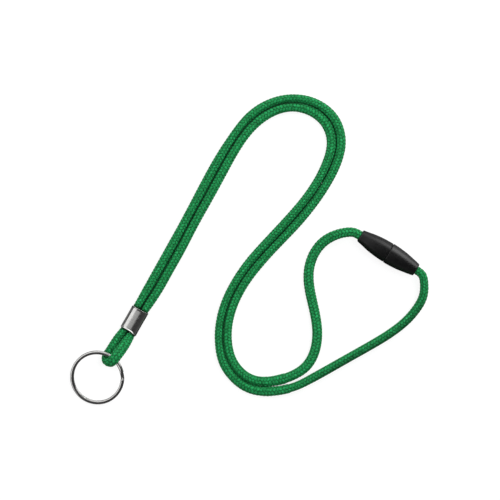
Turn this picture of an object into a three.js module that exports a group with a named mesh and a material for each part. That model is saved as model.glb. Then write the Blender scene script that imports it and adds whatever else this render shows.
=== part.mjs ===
import * as THREE from 'three';
import * as BufferGeometryUtils from 'three/addons/utils/BufferGeometryUtils.js';

// Round-cord breakaway lanyard, lying flat on a table.  Units: millimetres.
// +X runs from the split ring towards the breakaway connector, +Z is up, z = 0 is
// the table.  One length of braided cord runs from the connector's plug half,
// through the crimp sleeve, round the split ring, back through the crimp sleeve
// and on to the connector's socket half.

// ---------------------------------------------------------------- dimensions
const CORD_HALF = 2.1;            // half width of the plain 8-sided cord solids
const CORD_BED = 2.1;             // height of the cord's centreline on the table
const GAP = 0.3;                  // clearance kept between touching solids

const CRIMP_CENTRE = [-57.10, -1.55];
const CRIMP_DIR = [0.497, 0.868]; // from the ring side to the neck side
const CRIMP_LENGTH = 12.9;
const CRIMP_WIDTH = 9.3;
const CRIMP_HEIGHT = 5.6;
const CRIMP_WALL = 0.5;
const CRIMP_SEAM = 0.5;           // slit between the strip's ends, underneath
const CRIMP_SQUEEZE = [0.82, 0.80]; // the cord is pressed narrower in the sleeve

const RING_CENTRE_XY = [-76.26, -31.12];
const RING_OD = 28.0;
const RING_WIRE_W = 1.8;          // radial width of the flat spring wire
const RING_WIRE_H = 1.05;         // thickness of one coil
const RING_COIL_GAP = 0.1;
const RING_CHAMFER = 0.24;
const RING_CONTACT_DEG = 56.6;    // where the cord loop holds the ring, from +X
const RING_END_DEG = -5;          // upper coil's end
const RING_STEP_DEG = 30;         // arc over which the wire steps down a layer
const RING_LIFT = 5.75;           // height of the wire's middle in the cord loop

const LOOP_SIDE = 2.35;           // each leg's offset along the wire
const LOOP_RADIUS = 3.5;          // cord centreline to the middle of the wire

const CONN_CENTRE = [73.88, 33.17, 5.5];
const CONN_DIR = [0.8513, -0.5247, 0]; // from the plug half to the socket half
const CONN_SEAM = -0.2;           // seam's place along the connector
const SPIGOT_R = 4.0;
const SPIGOT_LENGTH = 7.3;
const BEAD_R = 4.2;
const SOCKET_R = 4.5;
const ENTRY_R = 2.6;
const CHAMBER_R = 3.3;
const FUSED_R = 2.95;

// Centreline of each stretch of cord: x, y, height.
const ROUTE_A = [
  [-62.03, -5.98, 2.80],
  [-55.37, 5.64, 2.80],
  [-53.22, 9.41, 2.63],
  [-43.95, 25.66, 2.10],
  [-33.44, 44.61, 2.10],
  [-23.36, 63.54, 2.10],
  [-12.90, 82.54, 2.10],
  [-0.56, 100.60, 2.10],
  [8.43, 108.32, 2.10],
  [18.83, 112.50, 2.10],
  [28.89, 112.82, 2.10],
  [38.65, 109.37, 2.10],
  [45.26, 103.48, 2.10],
  [48.84, 95.74, 2.10],
  [49.19, 86.59, 2.10],
  [46.35, 77.44, 2.10],
  [40.64, 66.72, 2.10],
  [31.95, 54.74, 2.10],
  [20.42, 41.81, 2.10],
  [8.54, 29.14, 2.10],
  [0.90, 19.53, 2.10],
  [-5.52, 8.19, 2.10],
  [-8.79, -2.51, 2.10],
  [-9.36, -8.91, 2.10],
  [-8.86, -14.83, 2.10],
  [-7.22, -20.51, 2.10],
  [-4.57, -25.34, 2.10],
  [-1.33, -28.97, 2.10],
  [2.44, -31.53, 2.10],
  [6.75, -32.98, 2.10],
  [14.02, -33.24, 2.10],
  [21.82, -31.33, 2.10],
  [28.79, -27.67, 2.10],
  [33.33, -22.96, 2.10],
  [36.20, -16.52, 2.10],
  [37.25, -9.03, 2.10],
  [36.66, -1.59, 2.10],
  [34.60, 8.27, 2.10],
  [32.86, 18.43, 2.10],
  [33.00, 24.53, 2.10],
  [34.38, 30.06, 2.10],
  [38.13, 36.55, 2.20],
  [43.41, 40.90, 3.13],
  [51.84, 43.74, 4.81],
  [57.83, 43.08, 5.47],
  [63.07, 39.83, 5.50],
];
const ROUTE_B = [
  [-58.43, -8.05, 2.80],
  [-51.82, 3.49, 2.80],
  [-49.43, 7.32, 2.62],
  [-39.75, 23.42, 2.10],
  [-29.39, 42.52, 2.10],
  [-19.16, 61.37, 2.10],
  [-8.86, 80.29, 2.10],
  [2.85, 97.69, 2.10],
  [10.83, 104.38, 2.10],
  [19.75, 108.19, 2.10],
  [28.07, 108.47, 2.10],
  [36.26, 105.38, 2.10],
  [41.44, 100.60, 2.10],
  [44.16, 94.60, 2.10],
  [44.48, 87.39, 2.10],
  [42.03, 79.14, 2.10],
  [36.80, 69.03, 2.10],
  [28.63, 57.69, 2.10],
  [17.17, 44.89, 2.10],
  [5.29, 32.10, 2.10],
  [-2.66, 22.01, 2.10],
  [-9.42, 9.97, 2.10],
  [-13.05, -1.95, 2.10],
  [-13.70, -8.98, 2.10],
  [-13.19, -15.77, 2.10],
  [-11.38, -22.28, 2.10],
  [-8.27, -28.08, 2.10],
  [-4.50, -32.39, 2.10],
  [0.36, -35.78, 2.10],
  [5.71, -37.72, 2.10],
  [16.24, -38.22, 2.10],
  [27.20, -35.27, 2.10],
  [40.03, -28.43, 2.10],
  [55.40, -19.76, 2.10],
];
const ROUTE_B_END = [
  [55.66, -19.61, 2.10],
  [64.99, -14.28, 2.10],
  [77.12, -6.66, 2.10],
  [85.93, 1.25, 2.10],
  [90.99, 8.76, 3.10],
  [92.29, 16.77, 4.66],
  [91.64, 20.75, 5.24],
  [90.15, 23.11, 5.46],
  [84.78, 26.45, 5.50],
];

// ---------------------------------------------------------------- helpers
const V = (a) => new THREE.Vector3(a[0], a[1], a[2] ?? 0);
const UP = new THREE.Vector3(0, 0, 1);
const rad = (deg) => (deg * Math.PI) / 180;

// A path through fixed stations, one per extrusion step, whose frame keeps one
// axis level (side) and the other as near vertical as the path allows.
class StationPath extends THREE.Curve {
  constructor(stations, sides = null) {
    super();
    this.stations = stations;
    this.sides = sides;
    const n = stations.length - 1;
    this.tangents = stations.map((p, i) => {
      const a = stations[Math.max(i - 1, 0)];
      const b = stations[Math.min(i + 1, n)];
      if (i === 0 || i === n) return b.clone().sub(a).normalize();
      const before = p.clone().sub(a).normalize();
      const after = b.clone().sub(p).normalize();
      return before.add(after).normalize();
    });
  }

  getPoint(t, target = new THREE.Vector3()) {
    const n = this.stations.length - 1;
    const i = Math.min(Math.floor(t * n), n - 1);
    return target.lerpVectors(this.stations[i], this.stations[i + 1], t * n - i);
  }

  getPointAt(u, target) {
    return this.getPoint(u, target);
  }

  getSpacedPoints() {
    return this.stations.map((p) => p.clone());
  }

  computeFrenetFrames() {
    const tangents = this.tangents.map((t) => t.clone());
    const normals = tangents.map((t, i) => {
      const side = this.sides ? this.sides[i].clone() : new THREE.Vector3().crossVectors(UP, t);
      return side.addScaledVector(t, -side.dot(t)).normalize();
    });
    const binormals = tangents.map((t, i) => new THREE.Vector3().crossVectors(t, normals[i]));
    return { tangents, normals, binormals };
  }
}

function octagon(half) {
  const r = half / Math.cos(Math.PI / 8);
  const pts = [];
  for (let i = 0; i < 8; i += 1) {
    const a = ((i + 0.5) / 8) * 2 * Math.PI;
    pts.push(new THREE.Vector2(r * Math.cos(a), r * Math.sin(a)));
  }
  return new THREE.Shape(pts);
}

function sweep(stations, shape, sides = null) {
  const path = new StationPath(stations, sides);
  return new THREE.ExtrudeGeometry(shape, {
    steps: stations.length - 1,
    extrudePath: path,
    bevelEnabled: false,
  });
}

// Presses a swept section narrower (kx, level) and lower (kz, upright) about the
// line a-b, for the vertices whose distance along it lies between lo and hi.
function press(geometry, a, b, lo, hi, kx, kz) {
  const along = b.clone().sub(a).normalize();
  const side = new THREE.Vector3().crossVectors(UP, along).normalize();
  const top = new THREE.Vector3().crossVectors(along, side);
  const pos = geometry.attributes.position;
  const v = new THREE.Vector3();
  for (let i = 0; i < pos.count; i += 1) {
    v.fromBufferAttribute(pos, i).sub(a);
    const s = v.dot(along);
    const x = v.dot(side) * kx;
    const z = v.dot(top) * kz;
    if (s < lo || s > hi || Math.hypot(x, z) > 4) continue;
    v.copy(a).addScaledVector(along, s).addScaledVector(side, x).addScaledVector(top, z);
    pos.setXYZ(i, v.x, v.y, v.z);
  }
  return geometry;
}

function welded(geometry) {
  const g = geometry.index ? geometry.toNonIndexed() : geometry.clone();
  g.deleteAttribute('normal');
  g.deleteAttribute('uv');
  const merged = BufferGeometryUtils.mergeVertices(g, 1e-4);
  merged.computeVertexNormals();
  return merged;
}

// ---------------------------------------------------------------- finishes
const CORD_GREEN = new THREE.MeshStandardMaterial({ color: 0x1f8a4b, roughness: 0.85, metalness: 0 });
const FUSED_GREEN = new THREE.MeshStandardMaterial({ color: 0x14603a, roughness: 0.45, metalness: 0 });
const NICKEL = new THREE.MeshStandardMaterial({ color: 0xc9c9c6, roughness: 0.22, metalness: 1 });
const BLACK_PLASTIC = new THREE.MeshStandardMaterial({ color: 0x1b1b1c, roughness: 0.42, metalness: 0 });

const lanyard = new THREE.Group();

function add(name, geometry, material, parent = lanyard) {
  const mesh = new THREE.Mesh(geometry, material);
  mesh.name = name;
  parent.add(mesh);
  return mesh;
}

// ---------------------------------------------------------------- cord strands
const crimpDir = V([CRIMP_DIR[0], CRIMP_DIR[1], 0]).normalize();
const cordShape = octagon(CORD_HALF);

function strand(route) {
  const stations = route.map(V);
  // the first two stations lie in the crimp sleeve
  const geometry = sweep(stations, cordShape);
  const lo = -0.5;
  const hi = CRIMP_LENGTH + 0.9;
  return press(geometry, stations[0], stations[1], lo, hi, CRIMP_SQUEEZE[0], CRIMP_SQUEEZE[1]);
}

add('cord_strand_a', welded(strand(ROUTE_A)), CORD_GREEN);
add('cord_strand_b', welded(strand(ROUTE_B)), CORD_GREEN);
add('cord_strand_b_end', welded(sweep(ROUTE_B_END.map(V), cordShape)), CORD_GREEN);

// ---------------------------------------------------------------- split ring
// The ring's frame: origin at its centre, x towards the cord loop, y along the
// wire there, z out of its upper face.  It leans on the cord's lower leg, and its
// far side lies on the table.
const RING_MID_R = (RING_OD - RING_WIRE_W) / 2;
const RING_STACK = 2 * RING_WIRE_H + RING_COIL_GAP;
let ringTilt = 0;
for (let i = 0; i < 40; i += 1) {
  const need = RING_LIFT - (RING_STACK / 2) * Math.cos(ringTilt);
  ringTilt = Math.asin(need / (2 * RING_MID_R + RING_WIRE_W / 2));
}
const contactAngle = rad(RING_CONTACT_DEG);
const outward = V([Math.cos(contactAngle), Math.sin(contactAngle), 0]);
const wireDir = V([Math.sin(contactAngle), -Math.cos(contactAngle), 0]);
const contact = V([RING_CENTRE_XY[0], RING_CENTRE_XY[1], RING_LIFT]).addScaledVector(outward, RING_MID_R);
const ringX = outward.clone().multiplyScalar(Math.cos(ringTilt)).addScaledVector(UP, Math.sin(ringTilt));
const ringY = wireDir.clone().multiplyScalar(-1);
const ringZ = new THREE.Vector3().crossVectors(ringX, ringY);
const ringCentre = contact.clone().addScaledVector(ringX, -RING_MID_R);

const wireShape = (() => {
  const w = RING_WIRE_W / 2;
  const h = RING_WIRE_H / 2;
  const c = RING_CHAMFER;
  return new THREE.Shape([
    new THREE.Vector2(w, -h + c), new THREE.Vector2(w, h - c),
    new THREE.Vector2(w - c, h), new THREE.Vector2(-w + c, h),
    new THREE.Vector2(-w, h - c), new THREE.Vector2(-w, -h + c),
    new THREE.Vector2(-w + c, -h), new THREE.Vector2(w - c, -h),
  ]);
})();


{
  const steps = 92;
  const total = 720 - RING_STEP_DEG;
  const stations = [];
  const sides = [];
  const layer = (RING_WIRE_H + RING_COIL_GAP) / 2;
  for (let i = 0; i <= steps; i += 1) {
    const s = (total * i) / steps;
    const a = rad(RING_END_DEG - s - RING_CONTACT_DEG);
    const k = THREE.MathUtils.smoothstep(s, 360 - RING_STEP_DEG, 360);
    const radial = new THREE.Vector3(Math.cos(a), Math.sin(a), 0);
    stations.push(radial.clone().multiplyScalar(RING_MID_R).setZ(layer * (1 - 2 * k)));
    sides.push(radial);
  }
  const ring = add('split_ring', welded(sweep(stations, wireShape, sides)), NICKEL);
  const basis = new THREE.Matrix4().makeBasis(ringX, ringY, ringZ);
  ring.quaternion.setFromRotationMatrix(basis);
  ring.position.copy(ringCentre);
}

// ---------------------------------------------------------------- cord loop
// Out of the sleeve, under the wire, round it, and back over it to the sleeve.
{
  const crimpCentre = V([CRIMP_CENTRE[0], CRIMP_CENTRE[1], 0]);
  const crimpSide = new THREE.Vector3().crossVectors(UP, crimpDir); // towards the left leg
  const down = outward.clone().multiplyScalar(-1);
  const mouth = (side, gap) => crimpCentre.clone()
    .addScaledVector(crimpDir, -(CRIMP_LENGTH / 2 - 0.15 + gap))
    .addScaledVector(crimpSide, side * 2.2)
    .setZ(CRIMP_HEIGHT / 2);
  const turn = (deg) => contact.clone()
    .addScaledVector(wireDir, LOOP_SIDE * Math.sin(rad(deg)))
    .addScaledVector(UP, LOOP_RADIUS * Math.sin(rad(deg)))
    .addScaledVector(down, LOOP_RADIUS * Math.cos(rad(deg)));
  const left0 = mouth(1, GAP);
  const right0 = mouth(-1, GAP);
  const under = turn(-90);
  const over = turn(90);
  const leg = (from, to, t, bow, z) => from.clone().lerp(to, t)
    .addScaledVector(crimpSide, bow).setZ(z);
  const points = [
    left0,
    leg(left0, under, 0.1, 0.1, 2.75),
    leg(left0, under, 0.38, 0.5, 2.3),
    leg(left0, under, 0.7, 0.35, CORD_BED),
    under.clone().addScaledVector(down, -1.2).setZ(CORD_BED + 0.02),
    turn(-68), turn(-40), turn(-12), turn(15), turn(42), turn(68),
    over.clone().addScaledVector(down, -0.9),
    leg(right0, over, 0.7, -0.35, 8.15),
    leg(right0, over, 0.4, -0.4, 5.4),
    leg(right0, over, 0.12, -0.12, 3.15),
    right0,
  ];
  const sides = points.map((p, i) => {
    const a = points[Math.max(i - 1, 0)];
    const b = points[Math.min(i + 1, points.length - 1)];
    const t = b.clone().sub(a).normalize();
    return new THREE.Vector3().crossVectors(UP, t).normalize();
  });
  const geometry = sweep(points, octagon(2.0), sides);
  press(geometry, left0, points[1], -0.2, 0.6, CRIMP_SQUEEZE[0], 1);
  press(geometry, right0, points[points.length - 2], -0.2, 0.6, CRIMP_SQUEEZE[0], 1);
  add('cord_ring_loop', welded(geometry), CORD_GREEN);
}

// ---------------------------------------------------------------- crimp sleeve
// A strip formed round both strands, its ends meeting in a slit underneath.
{
  const outline = (w, h, wall) => {
    const pts = [];
    const n = 40;
    const a0 = Math.asin(Math.min(1, (CRIMP_SEAM / 2) / (w / 2)));
    for (let i = 0; i <= n; i += 1) {
      const t = a0 + ((2 * Math.PI - 2 * a0) * i) / n; // from straight down, anticlockwise
      const p = 2.6;                                     // squarer than an ellipse
      const c = Math.sin(t);
      const d = -Math.cos(t);
      const x = Math.sign(c) * (w / 2) * Math.abs(c) ** (2 / p);
      let z = Math.sign(d) * (h / 2) * Math.abs(d) ** (2 / p);
      z = Math.max(z, -h / 2 + 0.04);
      if (Math.abs(x) < w * 0.26 && d < 0) z = -h / 2 + 0.04; // flat seat underneath
      pts.push(new THREE.Vector2(x, z + wall * 0));
    }
    return pts;
  };
  const outer = outline(CRIMP_WIDTH, CRIMP_HEIGHT, 0);
  const inner = outline(CRIMP_WIDTH - 2 * CRIMP_WALL, CRIMP_HEIGHT - 2 * CRIMP_WALL, 0);
  outer[0].x = CRIMP_SEAM / 2;
  outer[outer.length - 1].x = -CRIMP_SEAM / 2;
  inner[0].x = CRIMP_SEAM / 2;
  inner[inner.length - 1].x = -CRIMP_SEAM / 2;
  const shape = new THREE.Shape([...outer, ...inner.reverse()]);
  const a = V([CRIMP_CENTRE[0], CRIMP_CENTRE[1], CRIMP_HEIGHT / 2 - 0.04]);
  const path = [-CRIMP_LENGTH / 2, CRIMP_LENGTH / 2].map((s) => a.clone().addScaledVector(crimpDir, s));
  add('crimp_sleeve', welded(sweep(path, shape)), NICKEL);
}

// ---------------------------------------------------------------- connector
// The halves are turned profiles, [radius, distance along the connector]; the
// plug half's hollow spigot snaps into the socket half.
const connDir = V(CONN_DIR).normalize();
const connCentre = V(CONN_CENTRE);
const connector = new THREE.Group();
connector.position.copy(connCentre);
connector.quaternion.setFromUnitVectors(new THREE.Vector3(0, 1, 0), connDir);
lanyard.add(connector);

const turned = (profile) => {
  const pts = profile.map(([r, y]) => new THREE.Vector2(r, y));
  pts.push(pts[0].clone());
  return welded(new THREE.LatheGeometry(pts, 40));
};

const S0 = CONN_SEAM;
const plugProfile = [
  [ENTRY_R, -17.1], [3.0, -17.1], [3.25, -16.8],
  [3.63, -15.0], [4.05, -13.1], [4.45, -11.2], [4.78, -9.2], [5.05, -7.0],
  [5.25, -4.6], [5.36, -2.2], [5.38, S0 - 0.3], [5.28, S0 - 0.15],
  [SPIGOT_R, S0 - 0.15], [SPIGOT_R, S0 + 4.4], [BEAD_R, S0 + 4.9], [BEAD_R, S0 + 5.6],
  [SPIGOT_R, S0 + 6.1], [SPIGOT_R, S0 + SPIGOT_LENGTH - 0.4], [SPIGOT_R - 0.35, S0 + SPIGOT_LENGTH],
  [CHAMBER_R, S0 + SPIGOT_LENGTH], [CHAMBER_R, -12.3], [ENTRY_R, -12.3],
];
const socketProfile = [
  [SOCKET_R + 0.25, S0 + 0.15], [5.4, S0 + 0.15], [5.5, S0 + 0.3],
  [5.48, 1.8], [5.36, 4.2], [5.13, 6.8], [4.86, 8.9], [4.5, 10.9],
  [4.1, 12.9], [3.68, 14.9], [3.38, 16.3], [3.1, 16.7], [ENTRY_R, 16.7],
  [ENTRY_R, 12.5], [CHAMBER_R, 12.5], [CHAMBER_R, S0 + SPIGOT_LENGTH + 0.5],
  [SOCKET_R, S0 + SPIGOT_LENGTH + 0.5], [SOCKET_R, S0 + 0.4],
];
// the profile runs anticlockwise seen with the radius to the right
add('breakaway_plug', turned(plugProfile), BLACK_PLASTIC, connector);
add('breakaway_socket', turned(socketProfile), BLACK_PLASTIC, connector);

// the cord's ends are fused into mushroom heads that can't pass the entry holes
const fused = (from, to) => {
  const d = Math.sign(to - from);
  const rows = [
    [0, from], [2.2, from], [FUSED_R - 0.2, from + 0.3 * d], [FUSED_R, from + 0.9 * d],
    [FUSED_R - 0.15, from + 1.8 * d], [FUSED_R - 0.9, to - 0.35 * d], [1.2, to], [0, to],
  ];
  if (d < 0) rows.reverse();
  return welded(new THREE.LatheGeometry(rows.map(([r, y]) => new THREE.Vector2(r, y)), 20));
};
add('cord_fused_end_a', fused(-12.0, -8.6), FUSED_GREEN, connector);
add('cord_fused_end_b', fused(12.2, 8.9), FUSED_GREEN, connector);

export default lanyard;
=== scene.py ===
"""Round-cord breakaway lanyard: the looks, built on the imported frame."""
import math

import bmesh
import bpy
import numpy as np
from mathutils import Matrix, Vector


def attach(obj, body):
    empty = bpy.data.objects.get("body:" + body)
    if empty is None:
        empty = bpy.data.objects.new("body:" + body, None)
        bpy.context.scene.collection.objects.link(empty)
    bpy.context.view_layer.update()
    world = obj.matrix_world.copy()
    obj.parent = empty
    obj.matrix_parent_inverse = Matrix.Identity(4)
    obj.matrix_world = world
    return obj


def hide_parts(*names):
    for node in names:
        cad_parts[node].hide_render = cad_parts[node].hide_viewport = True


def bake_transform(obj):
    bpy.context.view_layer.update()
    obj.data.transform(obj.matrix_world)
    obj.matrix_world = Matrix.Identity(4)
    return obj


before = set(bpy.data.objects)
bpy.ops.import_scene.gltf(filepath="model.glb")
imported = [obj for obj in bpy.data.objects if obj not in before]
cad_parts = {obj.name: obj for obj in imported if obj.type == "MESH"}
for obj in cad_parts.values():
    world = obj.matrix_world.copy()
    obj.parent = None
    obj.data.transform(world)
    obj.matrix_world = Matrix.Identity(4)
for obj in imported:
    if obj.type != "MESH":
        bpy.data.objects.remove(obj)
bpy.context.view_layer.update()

MM = 0.001
rng = np.random.default_rng(7)

# ------------------------------------------------------------------ camera
scene = bpy.context.scene
scene.view_settings.view_transform = "Standard"
scene.view_settings.look = "None"
scene.view_settings.exposure = 0.0
scene.view_settings.gamma = 1.0

cam_data = bpy.data.cameras.new("camera")
cam_data.type = "PERSP"
cam_data.sensor_width = 36
cam_data.lens = 200
cam_data.clip_start = 0.01
cam_data.clip_end = 20
camera = bpy.data.objects.new("camera", cam_data)
scene.collection.objects.link(camera)
camera.location = (0.002561, 0.034728, 0.0025 + 0.25783 * 200 / 36)
camera.rotation_euler = (0, 0, 0)
scene.camera = camera

# ------------------------------------------------------------------ the cords' routes
# x, y, height of the centreline, width and height of the section, all in mm.
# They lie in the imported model's cord solids.
STRAND_A = [
    (-60.48, -3.27, 2.80, 4.12, 4.55),
    (-58.51, 0.17, 2.80, 4.12, 4.55),
    (-56.54, 3.61, 2.80, 4.12, 4.55),
    (-54.57, 7.05, 2.78, 4.48, 4.71),
    (-52.60, 10.49, 2.66, 4.47, 4.92),
    (-50.63, 13.93, 2.50, 4.43, 4.92),
    (-48.66, 17.37, 2.41, 4.44, 4.92),
    (-46.70, 20.82, 2.41, 4.45, 4.92),
    (-44.74, 24.26, 2.41, 4.45, 4.92),
    (-42.79, 27.72, 2.41, 4.47, 4.92),
    (-40.85, 31.17, 2.41, 4.49, 4.92),
    (-38.92, 34.64, 2.41, 4.51, 4.92),
    (-37.00, 38.10, 2.41, 4.53, 4.92),
    (-35.09, 41.58, 2.40, 4.54, 4.91),
    (-33.19, 45.06, 2.40, 4.55, 4.90),
    (-31.31, 48.55, 2.40, 4.55, 4.90),
    (-29.45, 52.05, 2.41, 4.54, 4.91),
    (-27.59, 55.55, 2.41, 4.53, 4.92),
    (-25.73, 59.06, 2.41, 4.53, 4.91),
    (-23.88, 62.56, 2.40, 4.55, 4.90),
    (-22.01, 66.06, 2.39, 4.57, 4.88),
    (-20.14, 69.55, 2.38, 4.58, 4.86),
    (-18.24, 73.04, 2.38, 4.58, 4.86),
    (-16.33, 76.51, 2.39, 4.56, 4.88),
    (-14.39, 79.97, 2.41, 4.50, 4.92),
    (-12.40, 83.40, 2.41, 4.43, 4.92),
    (-10.35, 86.79, 2.41, 4.36, 4.92),
    (-8.21, 90.13, 2.41, 4.32, 4.92),
    (-5.99, 93.41, 2.41, 4.29, 4.92),
    (-3.66, 96.62, 2.41, 4.28, 4.92),
    (-1.21, 99.72, 2.41, 4.27, 4.92),
    (1.45, 102.65, 2.41, 4.27, 4.92),
    (4.38, 105.31, 2.41, 4.27, 4.92),
    (7.58, 107.63, 2.41, 4.27, 4.92),
    (11.02, 109.57, 2.41, 4.27, 4.92),
    (14.65, 111.11, 2.41, 4.27, 4.92),
    (18.43, 112.21, 2.41, 4.27, 4.92),
    (22.31, 112.80, 2.41, 4.27, 4.92),
    (26.24, 112.86, 2.41, 4.27, 4.92),
    (30.15, 112.41, 2.41, 4.27, 4.92),
    (33.96, 111.40, 2.41, 4.28, 4.92),
    (37.58, 109.85, 2.41, 4.30, 4.92),
    (40.93, 107.76, 2.41, 4.35, 4.92),
    (43.87, 105.12, 2.41, 4.41, 4.92),
    (46.28, 101.98, 2.41, 4.47, 4.92),
    (48.01, 98.42, 2.41, 4.54, 4.91),
    (49.09, 94.61, 2.37, 4.60, 4.84),
    (49.50, 90.67, 2.35, 4.65, 4.80),
    (49.21, 86.72, 2.34, 4.67, 4.77),
    (48.33, 82.86, 2.33, 4.67, 4.77),
    (47.04, 79.11, 2.33, 4.68, 4.76),
    (45.47, 75.47, 2.32, 4.69, 4.75),
    (43.68, 71.93, 2.31, 4.71, 4.73),
    (41.72, 68.49, 2.30, 4.74, 4.70),
    (39.62, 65.13, 2.28, 4.78, 4.66),
    (37.38, 61.85, 2.26, 4.82, 4.62),
    (35.04, 58.66, 2.24, 4.86, 4.58),
    (32.59, 55.53, 2.23, 4.88, 4.56),
    (30.07, 52.48, 2.23, 4.89, 4.56),
    (27.47, 49.48, 2.24, 4.88, 4.57),
    (24.82, 46.53, 2.25, 4.84, 4.60),
    (22.13, 43.62, 2.27, 4.80, 4.64),
    (19.40, 40.74, 2.29, 4.77, 4.67),
    (16.67, 37.87, 2.29, 4.75, 4.69),
    (13.93, 35.00, 2.29, 4.76, 4.68),
    (11.22, 32.11, 2.27, 4.80, 4.64),
    (8.57, 29.16, 2.24, 4.86, 4.58),
    (5.98, 26.15, 2.21, 4.94, 4.51),
    (3.50, 23.06, 2.18, 5.00, 4.45),
    (1.14, 19.88, 2.15, 5.06, 4.41),
    (-1.06, 16.58, 2.13, 5.10, 4.37),
    (-3.07, 13.16, 2.12, 5.13, 4.34),
    (-4.87, 9.63, 2.11, 5.16, 4.32),
    (-6.42, 5.98, 2.11, 5.18, 4.32),
    (-7.68, 2.23, 2.11, 5.20, 4.32),
    (-8.62, -1.63, 2.11, 5.22, 4.32),
    (-9.19, -5.55, 2.11, 5.24, 4.32),
    (-9.36, -9.51, 2.11, 5.24, 4.32),
    (-9.08, -13.46, 2.11, 5.23, 4.32),
    (-8.30, -17.34, 2.11, 5.19, 4.32),
    (-6.98, -21.08, 2.13, 5.10, 4.37),
    (-5.09, -24.56, 2.19, 4.98, 4.47),
    (-2.66, -27.68, 2.26, 4.82, 4.62),
    (0.33, -30.29, 2.35, 4.65, 4.79),
    (3.82, -32.14, 2.40, 4.55, 4.89),
    (7.65, -33.15, 2.34, 4.67, 4.77),
    (11.60, -33.40, 2.21, 4.93, 4.52),
    (15.55, -33.03, 2.13, 5.12, 4.35),
    (19.41, -32.14, 2.11, 5.17, 4.32),
    (23.13, -30.80, 2.11, 5.17, 4.32),
    (26.68, -29.03, 2.11, 5.17, 4.32),
    (29.94, -26.78, 2.11, 5.17, 4.32),
    (32.66, -23.91, 2.11, 5.17, 4.32),
    (34.71, -20.52, 2.11, 5.17, 4.32),
    (36.11, -16.82, 2.11, 5.17, 4.32),
    (36.94, -12.94, 2.11, 5.17, 4.32),
    (37.25, -8.99, 2.11, 5.17, 4.32),
    (37.10, -5.03, 2.11, 5.17, 4.32),
    (36.58, -1.10, 2.11, 5.17, 4.32),
    (35.84, 2.79, 2.11, 5.17, 4.32),
    (34.97, 6.66, 2.11, 5.17, 4.32),
    (34.10, 10.53, 2.11, 5.17, 4.32),
    (33.35, 14.42, 2.11, 5.17, 4.32),
    (32.87, 18.36, 2.11, 5.17, 4.32),
    (32.80, 22.32, 2.11, 5.17, 4.32),
    (33.29, 26.25, 2.11, 5.17, 4.32),
    (34.38, 30.06, 2.11, 5.17, 4.32),
    (36.08, 33.63, 2.11, 5.17, 4.32),
    (38.39, 36.85, 2.24, 5.17, 4.32),
    (41.30, 39.53, 2.72, 5.17, 4.32),
    (44.69, 41.57, 3.41, 5.17, 4.32),
    (48.39, 42.98, 4.18, 5.17, 4.32),
    (52.27, 43.80, 4.88, 5.17, 4.32),
    (56.21, 43.69, 5.37, 5.02, 4.45),
    (59.70, 41.87, 5.50, 5.02, 4.72),
    (63.07, 39.83, 5.50, 5.02, 4.72),
    (63.71, 39.44, 5.50, 5.02, 4.72),
]
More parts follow.
